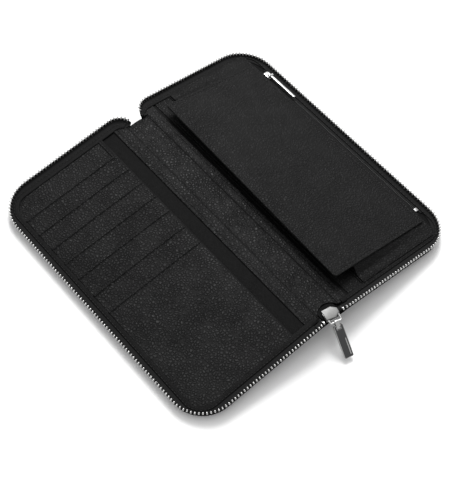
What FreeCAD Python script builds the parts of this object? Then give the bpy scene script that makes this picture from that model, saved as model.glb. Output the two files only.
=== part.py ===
"""Travel document organizer: a zip-around leather wallet lying open, its spine a little raised.

Millimetres, +Z up. X runs across the open wallet, from the card half (-X) to the zip-pocket half
(+X). Y runs along the spine, with the zip slider at the -Y end. The origin is on the spine's
outer face, and the outer edges of the two covers rest on the table, below it.

Each half is designed flat in its own coordinates and then laid at its slope: u outward from the
crease, v along the spine, w up from the crease axis. The lining lies on w = 0.
"""
import os

import FreeCAD
import Part
from math import cos, degrees, pi, radians, sin

V = FreeCAD.Vector
PARTS = "parts"

# Wallet, open
SLOPE = 7.0            # each half slopes down from the spine, degrees
CREASE_X = 9.5         # half the spine's width: the crease axes are at X = -CREASE_X and +CREASE_X
CREASE_GAP = 0.4       # bare stretch on each side of a crease axis
COVER_U = 121.0        # crease to the outer edge of the cover
COVER_V = 123.0        # half the cover's length
COVER_R = 25.0         # outer corners of the cover
NOTCH_R = 10.0         # inner corners beside the notch at the +Y end of the spine
FLAP_NOTCH_R = 8.0     # the same, on the spine leather's flaps
HEEL_R = 5.0           # inner corners beside the slider

# Leather, board and lining, from the outside in
COVER_T = 1.2
PADDING_T = 0.8
BOARD_T = 1.0
LINING_T = 1.0
LEATHER_T = 0.8
BELOW = COVER_T + PADDING_T + BOARD_T
CREASE_Z = BELOW

LINING_U = 117.0       # crease to the lining's outer edge
LINING_V = 118.5       # half the lining's length
LINING_R = 17.0
BOARD_INSET = 3.0      # cover edge to board and padding

# Main zip
CHAIN_U = 121.0        # centre line of the teeth
CHAIN_V = 123.0
CHAIN_R = 28.0
CHAIN_W = 3.6          # height of the tape's underside at the teeth; the teeth are centred on its top
TOOTH_PITCH = 2.87
TOOTH_ALONG = 1.55
TOOTH_ACROSS = 4.2
TOOTH_HIGH = 2.2
TAPE_T = 0.6
TAPE_SEAM = 1.6        # the tape starts this far inside the lining's edge
INNER_SEAM = 1.9       # flaps, panels and slip pockets end this far inside it
NOTCH_BARE = 2.8       # stretch of tape without teeth at the notch
SLIDER_ROOM = 7.0      # bare stretch beside each crease at the slider end
HEEL_V = -116.0        # beyond this line the tape keeps clear of the slider

# Spine
SPINE_TOP = 110.5      # +Y end of the spine, the floor of the notch
SPINE_BOTTOM = -123.0
SPINE_CUT_R = 10.5     # half-round cut in the spine lining, round the slider
STIFFENER_SIDE = 1.5   # spine cover's side to the stiffener
STIFFENER_END = 3.0

# Card half
FLAP_EDGE_FRONT = 11.6      # the spine leather overlaps the front lining up to here
PANEL_EDGE = 23.6           # spine-side edge of the card panel
PANEL_RIM = 4.0             # panel left showing outside the card pockets
CARD_LIPS = (95.0, 78.9, 62.1, 45.2, 28.5, 9.5, -8.7)
CARD_INSET = 1.0            # panel's spine-side edge to the card pockets
LIP_RISE = 1.0              # how far a lip stands off the leather behind it

# Zip-pocket half
FLAP_EDGE_BACK = 10.0
SLIP_1_EDGE = 12.5
SLIP_2_EDGE = 27.0
SLIP_R = 9.0                # outer corners of the slip pockets
POCKET_HINGE_U = 108.6      # the zip pocket lifts about this line
POCKET_INNER_U = 12.5       # its spine-side edge
POCKET_V = 102.0            # half its length
POCKET_LIFT = 4.5           # its slope when the gussets are open, degrees
POCKET_GAP = 0.3
POCKET_CAVITY = 0.8
POCKET_RIM = 3.0
POCKET_R = 3.0              # its corners
GUSSET_T = 0.6
GUSSET_FOOT = 115.0         # where the gusset meets the slip pocket, along v
GUSSET_HEAD_GAP = 0.4       # pocket's end to the gusset's upper edge
GUSSET_FOOT_GAP = 0.05
GUSSET_START = 1.0          # from the edge of the second slip pocket
GUSSET_END = 3.0            # short of the hinge line

# Zip of the zip pocket
COIL_U = 112.8
COIL_ACROSS = 2.4
COIL_HIGH = 1.2
COIL_V = 91.0
STOP_LENGTH = 3.0
STRIP_WIDE = 1.3
STRIP_PAST = 3.0            # the tapes run this far past the coil
STOP_PROUD = 0.4            # the stop stands this far above the coil
POCKET_SLIDER_V = 86.0
POCKET_SLIDER_LENGTH = 8.0
POCKET_SLIDER_WIDE = 4.8
POCKET_SLIDER_GAP = 0.3     # between the slider and the zip under it
POCKET_SLIDER_T = 0.9
POCKET_SLIDER_R = 1.2       # its corners
LUG_T = 0.8
LUG_INSET = 0.3             # slider's side to the lug
LUG_HALF = 1.0              # half the lug's length along the zip
LUG_OVER = 0.9              # top of the lug above the pin's axis
POCKET_PIN_R = 0.6
POCKET_PIN_BACK = 1.6       # slider's end to the pin
POCKET_PIN_RISE = 1.5       # pin's axis above the slider
POCKET_PULL_LENGTH = 30.0
POCKET_PULL_WIDE = 2.8
POCKET_PULL_T = 1.1
POCKET_PULL_END_R = 1.3
POCKET_PULL_HEAD_R = 0.5
POCKET_EYE_R = 1.2
POCKET_EYE_PLAY = 0.15      # between the eye and each lug
POCKET_NECK = 1.5           # the eye's neck reaches this far past the slider
POCKET_BAR_GAP = 0.8        # slider's end to the full-width bar
RUNNING = 0.05              # radial clearance of each hinge pin

# Main slider and its pull
SLIDER_X = -1.2
SLIDER_Y = -119.8
SLIDER_YAW = -12.0          # the slider and its pull lean this far toward the card half, degrees
CROWN = ((-6.2, -4.0), (1.4, -4.9), (5.9, -2.0), (5.9, 1.9), (1.8, 4.9), (-6.2, 4.4))
CROWN_T = 1.3
CROWN_W = 4.0               # underside of the crown above the spine lining
SOLE_W = -0.7
SOLE_T = 1.4
SOLE_SCALE = 0.82           # the sole is this much of the crown
CORE_X = 1.6                # half the core's width
CORE_Y = 2.4                # half the core's length
BRIDGE_ROOT = 1.5           # slider's centre to the inner end of the bridge's arms
BRIDGE_REACH = 7.4          # slider's centre to the axis of the bridge's bar
BRIDGE_W = 3.3
BRIDGE_BAR_R = 0.8
BRIDGE_ARM_X = 4.6
BRIDGE_ARM_T = 1.2
LINK_LENGTH = 3.4           # bar axis to tab pin axis
LINK_WIDE = 3.2
LINK_EYE_R = 1.5
LINK_WEB_T = 1.2
TAB_PIN_R = 0.6
TAB_EYE_R = 1.2
TAB_LENGTH = 25.2           # pin axis to the tab's end
TAB_WIDE = 7.6
TAB_T = 2.0
TAB_R = 0.8                 # its corners
TAB_HEAD = 0.8              # the tab's head beyond the pin's axis
SLOT_GAP = 0.3              # link's side to the tab
SLOT_DEPTH = 2.6            # pin's axis to the slot's floor
PIN_SEAT = 0.6              # the pin runs this far into the tab on each side
INLAY_X = (1.7, 2.5)
INLAY_Y = (2.0, 15.0)       # from the tab's end
INLAY_SUNK = 0.2
INLAY_PROUD = 0.1
PULL_DROOP = 39.0           # the pull lies this far below level, degrees


def save(name, *solids):
    """Writes one node. More than one solid makes a group of separate solids."""
    shape = solids[0] if len(solids) == 1 else Part.makeCompound(list(solids))
    if not shape.isValid():
        raise ValueError(name + " is not a valid shape")
    shape.exportStep(os.path.join(PARTS, name + ".step"))


def box(x0, x1, y0, y1, z0, z1):
    return Part.makeBox(x1 - x0, y1 - y0, z1 - z0, V(x0, y0, z0))


def cylinder(radius, start, end):
    axis = end - start
    return Part.makeCylinder(radius, axis.Length, start, axis)


def prism(points, height):
    """A polygon given by its corners, extruded along height."""
    wire = Part.makePolygon(points + [points[0]])
    return Part.Face(wire).extrude(height)


def rounded_wire(u0, u1, v0, v1, w, radii):
    """Rectangle with a radius for each corner: (u0 v0), (u1 v0), (u1 v1), (u0 v1)."""
    corners = ((u0, v0, pi), (u1, v0, 1.5 * pi), (u1, v1, 0), (u0, v1, 0.5 * pi))
    inward = ((1, 1), (-1, 1), (-1, -1), (1, -1))
    edges = []
    ends = []
    for (u, v, turn), (du, dv), r in zip(corners, inward, radii):
        centre = V(u + du * r, v + dv * r, w)
        arc = [centre + V(r * cos(turn + a), r * sin(turn + a), 0) for a in (0, pi / 4, pi / 2)]
        ends.append((arc[0], arc[2]))
        if r > 0:
            edges.append(Part.Arc(*arc).toShape())
    for here, there in zip(ends, ends[1:] + ends[:1]):
        if (there[0] - here[1]).Length > 1e-6:
            edges.append(Part.LineSegment(here[1], there[0]).toShape())
    return Part.Wire(Part.__sortEdges__(edges))


def plate(u0, u1, v0, v1, w0, w1, radii=(0, 0, 0, 0)):
    return Part.Face(rounded_wire(u0, u1, v0, v1, w0, radii)).extrude(V(0, 0, w1 - w0))


def half_plate(u0, inset, w0, w1, outer_r, notch_r=NOTCH_R, heel_r=HEEL_R):
    """A layer of a half, from u0 to the cover's outline less inset."""
    v = COVER_V - inset
    return plate(u0, COVER_U - inset, -v, v, w0, w1, (heel_r, outer_r, outer_r, notch_r))


def lay_back(shape):
    """From the flat coordinates to the zip-pocket half, sloping down to +X."""
    laid = shape.copy()
    laid.translate(V(CREASE_X, 0, CREASE_Z))
    laid.rotate(V(CREASE_X, 0, CREASE_Z), V(0, 1, 0), SLOPE)
    return laid


def lay_front(shape):
    """From the flat coordinates to the card half, sloping down to -X."""
    laid = shape.mirror(V(0, 0, 0), V(1, 0, 0))
    laid.translate(V(-CREASE_X, 0, CREASE_Z))
    laid.rotate(V(-CREASE_X, 0, CREASE_Z), V(0, 1, 0), -SLOPE)
    return laid


def lay_spine(shape):
    """From coordinates on the spine lining, w = 0, to the spine's height."""
    laid = shape.copy()
    laid.translate(V(0, 0, CREASE_Z))
    return laid


def tape_band():
    """Zip tape of a half: a sloping band from the lining's edge up to the teeth."""
    def cone():
        inner = (LINING_U - TAPE_SEAM, LINING_V - TAPE_SEAM, LINING_R - TAPE_SEAM)
        outer = (CHAIN_U, CHAIN_V, CHAIN_R)
        wires = []
        for (u, v, r), w in ((inner, LINING_T), (outer, CHAIN_W)):
            wires.append(rounded_wire(-u, u, -v, v, w, (r,) * 4))
        return Part.makeLoft(wires, True, True)
    # The same cone, raised by the tape's thickness, leaves the sloping wall and a floor.
    band = cone().cut(shifted(cone(), V(0, 0, TAPE_T)))
    floor_u = LINING_U - TAPE_SEAM - 0.01
    floor_v = LINING_V - TAPE_SEAM - 0.01
    floor_r = LINING_R - TAPE_SEAM - 0.01
    floor = plate(-floor_u, floor_u, -floor_v, floor_v, 0, CHAIN_W, (floor_r,) * 4)
    band = band.cut(floor)
    keep = box(CREASE_GAP + 1, 2 * COVER_U, HEEL_V, 2 * COVER_V, 0, 2 * CHAIN_W)
    heel = box(SLIDER_ROOM, 2 * COVER_U, -2 * COVER_V, HEEL_V, 0, 2 * CHAIN_W)
    notch = plate(CREASE_GAP, 2 * CHAIN_U, -2 * CHAIN_V, CHAIN_V, 0, 2 * CHAIN_W, (0, 0, 0, NOTCH_R))
    return band.common(keep.fuse(heel)).common(notch)


def shifted(shape, by):
    moved = shape.copy()
    moved.translate(by)
    return moved


def chain_point(s):
    """Centre line of the teeth: point and outward direction, s mm from the slider end."""
    corner = CHAIN_R * pi / 2
    notch = NOTCH_R * pi / 2
    runs = (
        ("line", CHAIN_U - CHAIN_R - SLIDER_ROOM, (SLIDER_ROOM, -CHAIN_V), -90),
        ("arc", corner, (CHAIN_U - CHAIN_R, -CHAIN_V + CHAIN_R), -90),
        ("line", 2 * (CHAIN_V - CHAIN_R), (CHAIN_U, -CHAIN_V + CHAIN_R), 0),
        ("arc", corner, (CHAIN_U - CHAIN_R, CHAIN_V - CHAIN_R), 0),
        ("line", CHAIN_U - CHAIN_R - NOTCH_R - CREASE_GAP, (CHAIN_U - CHAIN_R, CHAIN_V), 90),
        ("arc", notch, (CREASE_GAP + NOTCH_R, CHAIN_V - NOTCH_R), 90),
    )
    for kind, length, (u, v), facing in runs:
        if s <= length:
            break
        s -= length
    if kind == "line":
        out = radians(facing)
        return V(u - s * sin(out), v + s * cos(out), 0), out
    radius = length / (pi / 2)
    out = radians(facing) + s / radius
    return V(u + radius * cos(out), v + radius * sin(out), 0), out


def chain_length():
    lines = 2 * CHAIN_U - 2 * CHAIN_R - SLIDER_ROOM - NOTCH_R - CREASE_GAP + 2 * (CHAIN_V - CHAIN_R)
    return lines + CHAIN_R * pi + NOTCH_R * pi / 2


def teeth(phase):
    """The teeth of one half. phase shifts them along the tape, in pitches."""
    made = []
    usable = chain_length() - NOTCH_BARE
    for n in range(int(usable / TOOTH_PITCH)):
        centre, out = chain_point((n + phase) * TOOTH_PITCH)
        tooth = box(-TOOTH_ACROSS / 2, TOOTH_ACROSS / 2, -TOOTH_ALONG / 2, TOOTH_ALONG / 2,
                    CHAIN_W + TAPE_T - TOOTH_HIGH / 2, CHAIN_W + TAPE_T + TOOTH_HIGH / 2)
        tooth.rotate(V(0, 0, 0), V(0, 0, 1), degrees(out))
        tooth.translate(centre)
        made.append(tooth)
    return made


def cover_layers(side, lay):
    """Cover, padding, board and lining of a half."""
    w = -BELOW
    save(side + "_cover", lay(half_plate(CREASE_GAP, 0, w, w + COVER_T, COVER_R)))
    w += COVER_T
    inset_r = COVER_R - BOARD_INSET
    save(side + "_padding", lay(half_plate(BOARD_INSET, BOARD_INSET, w, w + PADDING_T, inset_r)))
    w += PADDING_T
    save(side + "_board", lay(half_plate(BOARD_INSET, BOARD_INSET, w, 0, inset_r)))
    lining = plate(CREASE_GAP, LINING_U, -LINING_V, LINING_V, 0, LINING_T,
                   (HEEL_R, LINING_R, LINING_R, NOTCH_R))
    save(side + "_lining", lay(lining))


def zip_half(side, lay, phase):
    """Tape and teeth of a half. The tape ends where the teeth sit on it."""
    rows = teeth(phase)
    tape = tape_band()
    save(side + "_zip_tape", lay(tape.cut(Part.makeCompound(rows))))
    save(side + "_zip_teeth", *[lay(tooth) for tooth in rows])


def crease_flap(side, lay, edge):
    """Edge of the spine leather, where it overlaps the lining of a half."""
    flap = plate(CREASE_GAP, edge, -LINING_V + INNER_SEAM, LINING_V - INNER_SEAM, LINING_T,
                 LINING_T + LEATHER_T, (HEEL_R, 0, 0, FLAP_NOTCH_R))
    save(side + "_crease_flap", lay(flap))


def spine():
    x = CREASE_X - CREASE_GAP
    save("spine_cover", lay_spine(box(-x, x, SPINE_BOTTOM, SPINE_TOP, -BELOW, -BELOW + COVER_T)))
    stiff = x - STIFFENER_SIDE
    save("spine_stiffener", lay_spine(box(-stiff, stiff, SPINE_BOTTOM + STIFFENER_END,
                                          SPINE_TOP - STIFFENER_END, -BELOW + COVER_T, -LEATHER_T)))
    lining = box(-x, x, SPINE_BOTTOM, SPINE_TOP, -LEATHER_T, 0)
    cut = cylinder(SPINE_CUT_R, V(0, SLIDER_Y, -BELOW), V(0, SLIDER_Y, BELOW))
    save("spine_lining", lay_spine(lining.cut(cut)))


def card_half():
    crease_flap("front", lay_front, FLAP_EDGE_FRONT)
    panel_end = LINING_V - INNER_SEAM
    panel = plate(PANEL_EDGE, LINING_U - INNER_SEAM, -panel_end, panel_end, LINING_T, LINING_T + LEATHER_T,
                  (0, LINING_R - INNER_SEAM, LINING_R - INNER_SEAM, 0))
    save("card_panel", lay_front(panel))
    base = LINING_T + LEATHER_T
    outer = LINING_U - INNER_SEAM - PANEL_RIM
    ends = CARD_LIPS[1:] + (-panel_end + PANEL_RIM,)
    rounded = plate(PANEL_EDGE + CARD_INSET, outer, -panel_end + PANEL_RIM, panel_end, 0, 4 * LINING_T,
                    (0, LINING_R - PANEL_RIM, 0, 0))
    for number, (lip, end) in enumerate(zip(CARD_LIPS, ends), start=1):
        profile = [V(0, end, base), V(0, lip, base + LIP_RISE),
                   V(0, lip, base + LIP_RISE + LEATHER_T), V(0, end, base + LEATHER_T)]
        pocket = prism(profile, V(outer, 0, 0)).common(rounded)
        save("card_pocket_%d" % number, lay_front(pocket))


def zip_pocket_half():
    crease_flap("back", lay_back, FLAP_EDGE_BACK)
    end = LINING_V - INNER_SEAM
    top = LINING_T + LEATHER_T
    strip_edge = COIL_U - COIL_ACROSS / 2 - STRIP_WIDE
    slip_radii = (0, SLIP_R, SLIP_R, 0)
    save("slip_pocket_1", lay_back(plate(SLIP_1_EDGE, strip_edge, -end, end, LINING_T, top, slip_radii)))
    save("slip_pocket_2", lay_back(plate(SLIP_2_EDGE, strip_edge, -end, end, top, top + LEATHER_T,
                                         slip_radii)))
    top += LEATHER_T

    # The zip pocket is made flat above the slip pockets, then lifted about its hinge line.
    back_w = top + POCKET_GAP
    hinge = V(POCKET_HINGE_U, 0, back_w)
    radii = (POCKET_R, POCKET_R, POCKET_R, POCKET_R)
    u0 = POCKET_INNER_U
    u1 = POCKET_HINGE_U - POCKET_GAP
    back = plate(u0, u1, -POCKET_V, POCKET_V, back_w, back_w + LEATHER_T, radii)
    front_w = back_w + LEATHER_T
    front_t = POCKET_CAVITY + LEATHER_T
    front = plate(u0, u1, -POCKET_V, POCKET_V, front_w, front_w + front_t, radii)
    cavity = box(u0 + POCKET_RIM, u1 - POCKET_RIM, -POCKET_V + POCKET_RIM, POCKET_V - POCKET_RIM,
                 front_w, front_w + POCKET_CAVITY)
    for name, shape in (("zip_pocket_back", back), ("zip_pocket_front", front.cut(cavity))):
        shape.rotate(hinge, V(0, 1, 0), POCKET_LIFT)
        save(name, lay_back(shape))

    for name, side in (("gusset_top", 1), ("gusset_bottom", -1)):
        save(name, lay_back(gusset(side, top, back_w)))
    pocket_zip()


def gusset(side, foot_w, pocket_w):
    """Leather that closes one end of the space under the zip pocket, a thin sloping sheet."""
    def section(u):
        rise = (POCKET_HINGE_U - u) * sin(radians(POCKET_LIFT))
        foot = side * GUSSET_FOOT
        head = side * (POCKET_V + GUSSET_HEAD_GAP)
        low = foot_w + GUSSET_FOOT_GAP
        high = max(pocket_w + rise, low)
        points = [V(u, foot, low), V(u, head, high), V(u, head, high + GUSSET_T),
                  V(u, foot, low + GUSSET_T)]
        return Part.makePolygon(points + [points[0]])
    start = section(SLIP_2_EDGE + GUSSET_START)
    end = section(POCKET_HINGE_U - GUSSET_END)
    return Part.makeLoft([start, end], True, True)


def pocket_zip():
    half = COIL_ACROSS / 2
    strip_w = LINING_T + TAPE_T
    strips = []
    for u in (COIL_U - half - STRIP_WIDE, COIL_U + half):
        strips.append(lay_back(box(u, u + STRIP_WIDE, -COIL_V - STRIP_PAST, COIL_V + STRIP_PAST,
                                   LINING_T, strip_w)))
    save("pocket_zip_tapes", *strips)
    coil_w = LINING_T + COIL_HIGH
    save("pocket_zip_coil", lay_back(box(COIL_U - half, COIL_U + half, -COIL_V + STOP_LENGTH, COIL_V,
                                         LINING_T, coil_w)))
    save("pocket_zip_stop", lay_back(box(COIL_U - half, COIL_U + half, -COIL_V, -COIL_V + STOP_LENGTH,
                                         LINING_T, coil_w + STOP_PROUD)))

    # Slider: a plate over the coil with two flanges, and two lugs that hold the pull's pin.
    gap = POCKET_SLIDER_GAP
    u0 = COIL_U - POCKET_SLIDER_WIDE / 2
    u1 = COIL_U + POCKET_SLIDER_WIDE / 2
    v0 = POCKET_SLIDER_V - POCKET_SLIDER_LENGTH / 2
    v1 = POCKET_SLIDER_V + POCKET_SLIDER_LENGTH / 2
    plate_w = coil_w + gap
    plate_top = plate_w + POCKET_SLIDER_T
    corners = (POCKET_SLIDER_R, POCKET_SLIDER_R, POCKET_SLIDER_R, POCKET_SLIDER_R)
    shell = plate(u0, u1, v0, v1, strip_w + gap, plate_top, corners)
    shell = shell.cut(box(COIL_U - half - gap, COIL_U + half + gap, v0 - 1, v1 + 1, 0, plate_w))
    pin_v = v0 + POCKET_PIN_BACK
    pin_w = plate_top + POCKET_PIN_RISE
    lugs = []
    for u in (u0 + LUG_INSET, u1 - LUG_INSET - LUG_T):
        lugs.append(box(u, u + LUG_T, pin_v - LUG_HALF, pin_v + LUG_HALF, plate_top, pin_w + LUG_OVER))
    pin = cylinder(POCKET_PIN_R, V(u0 + LUG_INSET, pin_v, pin_w), V(u1 - LUG_INSET, pin_v, pin_w))
    save("pocket_slider_body", lay_back(shell.fuse(lugs + [pin])))

    # Pull: an eye round the pin and a slim bar along the zip.
    eye_half = POCKET_SLIDER_WIDE / 2 - LUG_INSET - LUG_T - POCKET_EYE_PLAY
    eye = cylinder(POCKET_EYE_R, V(COIL_U - eye_half, pin_v, pin_w), V(COIL_U + eye_half, pin_v, pin_w))
    neck = box(COIL_U - eye_half, COIL_U + eye_half, v0 - POCKET_NECK, pin_v,
               pin_w - POCKET_PULL_T / 2, pin_w + POCKET_PULL_T / 2)
    bar = plate(COIL_U - POCKET_PULL_WIDE / 2, COIL_U + POCKET_PULL_WIDE / 2,
                pin_v - POCKET_PULL_LENGTH, v0 - POCKET_BAR_GAP,
                pin_w - POCKET_PULL_T / 2, pin_w + POCKET_PULL_T / 2,
                (POCKET_PULL_END_R, POCKET_PULL_END_R, POCKET_PULL_HEAD_R, POCKET_PULL_HEAD_R))
    bore = cylinder(POCKET_PIN_R + RUNNING, V(u0, pin_v, pin_w), V(u1, pin_v, pin_w))
    save("pocket_pull_bar", lay_back(eye.fuse([neck, bar]).cut(bore)))
    report_point("pocket_pull axis", lay_back(Part.Vertex(V(COIL_U, pin_v, pin_w))))
    report_point("zip_pocket axis", lay_back(Part.Vertex(V(
        POCKET_HINGE_U, 0, LINING_T + 2 * LEATHER_T + POCKET_GAP))))


def report_point(label, vertex):
    p = vertex.Point
    print("%s %.5f %.5f %.5f mm" % (label, p.x, p.y, p.z))


def crown_prism(scale, w0, w1):
    points = [V(scale * x, scale * y, w0) for x, y in CROWN]
    return prism(points, V(0, 0, w1 - w0))


def lay_slider(shape):
    """From coordinates on the slider's centre to its place on the spine."""
    laid = shape.copy()
    laid.rotate(V(0, 0, 0), V(0, 0, 1), SLIDER_YAW)
    laid.translate(V(SLIDER_X, SLIDER_Y, CREASE_Z))
    return laid


def main_slider():
    """Sole and core, crown, and a bridge whose bar carries the pull."""
    sole = crown_prism(SOLE_SCALE, SOLE_W, SOLE_W + SOLE_T)
    core = box(-CORE_X, CORE_X, -CORE_Y, CORE_Y, SOLE_W + SOLE_T, CROWN_W)
    save("slider_body", lay_slider(sole.fuse(core)))
    save("slider_crown", lay_slider(crown_prism(1, CROWN_W, CROWN_W + CROWN_T)))
    pieces = []
    for side in (-1, 1):
        x = side * BRIDGE_ARM_X
        x0 = x - BRIDGE_ARM_T / 2
        x1 = x + BRIDGE_ARM_T / 2
        pieces.append(box(x0, x1, -BRIDGE_REACH - BRIDGE_BAR_R, -BRIDGE_ROOT,
                          BRIDGE_W - BRIDGE_BAR_R, CROWN_W))
    bar_end = BRIDGE_ARM_X + BRIDGE_ARM_T / 2
    bar = cylinder(BRIDGE_BAR_R, V(-bar_end, -BRIDGE_REACH, BRIDGE_W),
                   V(bar_end, -BRIDGE_REACH, BRIDGE_W))
    save("slider_bridge", lay_slider(bar.fuse(pieces)))


def pull():
    """Link and tab, made level along -Y from the bridge's bar, then lowered to where they lie."""
    def lay(shape):
        laid = shape.copy()
        laid.rotate(V(0, 0, 0), V(1, 0, 0), PULL_DROOP)
        laid.translate(V(0, -BRIDGE_REACH, BRIDGE_W))
        return lay_slider(laid)
    half = LINK_WIDE / 2
    eye = cylinder(LINK_EYE_R, V(-half, 0, 0), V(half, 0, 0))
    web = box(-half, half, -LINK_LENGTH, 0, -LINK_WEB_T / 2, LINK_WEB_T / 2)
    far = cylinder(TAB_EYE_R, V(-half, -LINK_LENGTH, 0), V(half, -LINK_LENGTH, 0))
    bore = cylinder(BRIDGE_BAR_R + RUNNING, V(-half, 0, 0), V(half, 0, 0))
    far_bore = cylinder(TAB_PIN_R + RUNNING, V(-half, -LINK_LENGTH, 0), V(half, -LINK_LENGTH, 0))
    save("pull_link", lay(eye.fuse([web, far]).cut(bore).cut(far_bore)))

    # Tab: a flat bar with a slot at its head, and a pin across the slot.
    slot_half = half + SLOT_GAP
    y_end = -LINK_LENGTH - TAB_LENGTH
    head_y = -LINK_LENGTH + TAB_HEAD
    bar = plate(-TAB_WIDE / 2, TAB_WIDE / 2, y_end, head_y, -TAB_T / 2, TAB_T / 2,
                (TAB_R, TAB_R, TAB_R, TAB_R))
    slot = box(-slot_half, slot_half, -LINK_LENGTH - SLOT_DEPTH, 0, -TAB_T, TAB_T)
    pin_end = slot_half + PIN_SEAT
    pin = cylinder(TAB_PIN_R, V(-pin_end, -LINK_LENGTH, 0), V(pin_end, -LINK_LENGTH, 0))
    inlay = box(INLAY_X[0], INLAY_X[1], y_end + INLAY_Y[0], y_end + INLAY_Y[1],
                TAB_T / 2 - INLAY_SUNK, TAB_T / 2 + INLAY_PROUD)
    save("pull_tab_bar", lay(bar.cut(slot).cut(inlay).fuse(pin)))
    save("pull_tab_inlay", lay(inlay))
    report_point("pull_link axis", lay(Part.Vertex(V(0, 0, 0))))
    report_point("pull_tab axis", lay(Part.Vertex(V(0, -LINK_LENGTH, 0))))


def main():
    os.makedirs(PARTS, exist_ok=True)
    cover_layers("back", lay_back)
    zip_half("back", lay_back, 0.25)
    zip_pocket_half()
    spine()
    main_slider()
    pull()
    cover_layers("front", lay_front)
    zip_half("front", lay_front, 0.75)
    card_half()
    print("crease height %.5f mm" % CREASE_Z)


main()
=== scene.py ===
from math import atan2, cos, hypot, pi, radians, sin, sqrt

import bmesh
import bpy
from mathutils import Matrix, Vector, noise


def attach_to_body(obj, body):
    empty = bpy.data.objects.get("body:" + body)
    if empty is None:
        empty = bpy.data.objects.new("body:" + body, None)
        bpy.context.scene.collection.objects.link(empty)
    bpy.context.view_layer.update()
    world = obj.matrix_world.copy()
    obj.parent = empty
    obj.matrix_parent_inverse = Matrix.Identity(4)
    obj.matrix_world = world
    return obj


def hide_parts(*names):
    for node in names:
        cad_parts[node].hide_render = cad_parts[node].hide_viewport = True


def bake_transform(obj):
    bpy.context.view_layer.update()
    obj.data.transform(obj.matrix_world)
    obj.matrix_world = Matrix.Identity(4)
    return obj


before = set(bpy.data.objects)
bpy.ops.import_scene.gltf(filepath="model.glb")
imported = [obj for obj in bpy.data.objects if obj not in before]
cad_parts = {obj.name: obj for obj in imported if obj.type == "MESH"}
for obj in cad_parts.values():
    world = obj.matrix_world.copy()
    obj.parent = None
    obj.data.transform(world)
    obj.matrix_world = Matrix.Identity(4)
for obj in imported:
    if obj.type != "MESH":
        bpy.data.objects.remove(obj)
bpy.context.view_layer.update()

MM = 0.001
QUARTER = pi / 2
OUT_DOWN = -pi / 2          # the outward direction of an edge at the slider end

SLOPE = radians(7.0)
CREASE_X = 9.5              # the crease axes
CREASE_Z = 3.0
BEND_FROM = 7.5             # the leather bends between these two, across the crease
BEND_TO = 11.5
TABLE_Z = -14.724

# Outlines: reach out from the crease, half the length, and corner radius
COVER = (121.0, 123.0, 28.0)
LINING = (117.0, 118.5, 17.0)
NOTCH_R = 13.0
NOTCH_A = 6.0               # the notch's side, from the middle of the spine
SPINE_TOP = 110.5           # floor of the notch
SPINE_BOTTOM = -123.0
PANEL_V = 116.6             # panels and flaps end here, under the binding
INNER_SEAM = 1.9            # the card panel ends this far inside the lining's edge
COVER_TURN = 1.6            # cover's outline to the edge of its flat sheet
COVER_SEAM = 3.6            # cover's outline to its stitches
NOTCH_FILLET = 2.0

# Layers, tops
SHEET = 0.8
LINING_TOP = 1.0
PANEL_TOP = LINING_TOP + SHEET
OUTSIDE = 3.0               # outer face of the cover, below the spine lining
COVER_T = 1.2

FLAP_FRONT_U = 11.6
FLAP_BACK_U = 10.0
CARD_EDGE_U = 23.6
CARD_OUTER_U = 112.6
CARD_LIPS = (95.0, 78.9, 62.1, 45.2, 28.5, 9.5, -8.7)
LIP_RISE = 1.35
SLIP_EDGES_U = (12.5, 27.0)
SLIP_OUTER_U = 110.3

POCKET_HINGE_U = 108.6
POCKET_HINGE_W = 2.9
POCKET_INNER_U = 12.5
POCKET_V = 102.0
POCKET_LIFT = radians(4.5)
POCKET_T = 2.4
POCKET_R = 3.0
POCKET_SKEW = 0.055         # share by which the pocket is wider at the slider end
GUSSET_FOOT_V = 115.0

TOOTH_PITCH = 2.87
TEETH_W = 4.3
TEETH_RAISED = radians(58.0)
ZIP_START_U = 7.0
STITCH_PITCH = 3.0
STITCH_INSET = 2.5
BINDING_START = 3.0         # crease to the start of the binding
BINDING_SEAM_START = 8.0    # crease to the start of its seam
BINDING_SEAM = 1.25
LIP_HEM = (2.2, 1.6)        # the hem rises between these distances below a card pocket's lip
LIP_FOLD = 2.5              # lip to the crease pressed below its hem

COIL_U = 112.8
COIL_V = 91.0
COIL_PITCH = 1.3
POCKET_SLIDER_V = 86.0
PIN_V = 83.6
PIN_W = 4.9
FLANGE_X = 2.1
LUG_T = 0.8

SLIDER = (-1.2, -119.8, radians(-12.0))     # centre and lean of the main slider
CUT_R = 10.5                                # half-round cut in the spine leather round it
CROWN = ((-6.2, -4.0), (1.4, -4.9), (5.9, -2.0), (5.9, 1.9), (1.8, 4.9), (-6.2, 4.4))
BRIDGE_REACH = 7.4
BRIDGE_W = 3.3
BRIDGE_X = 4.6
BRIDGE_ROOT = (-1.5, 4.3)                   # y and z of the bridge's ends, under the crown
BRIDGE_R = 0.8
SOLE_SCALE = 0.82
LINK_LENGTH = 3.4
LINK_HALF = 1.6
PULL_DROOP = radians(39.0)
TAB_LENGTH = 25.2
TAB_HALF = 3.8
TAB_CHAMFER = 0.8
TAB_SLOT_HALF = 1.9
TAB_SLOT_DEPTH = 2.6


# ---------------------------------------------------------------- placing

def smooth(x, low, high):
    """0 below low, 1 above high, and an S between."""
    t = min(1.0, max(0.0, (x - low) / (high - low)))
    return t * t * (3 - 2 * t)


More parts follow.
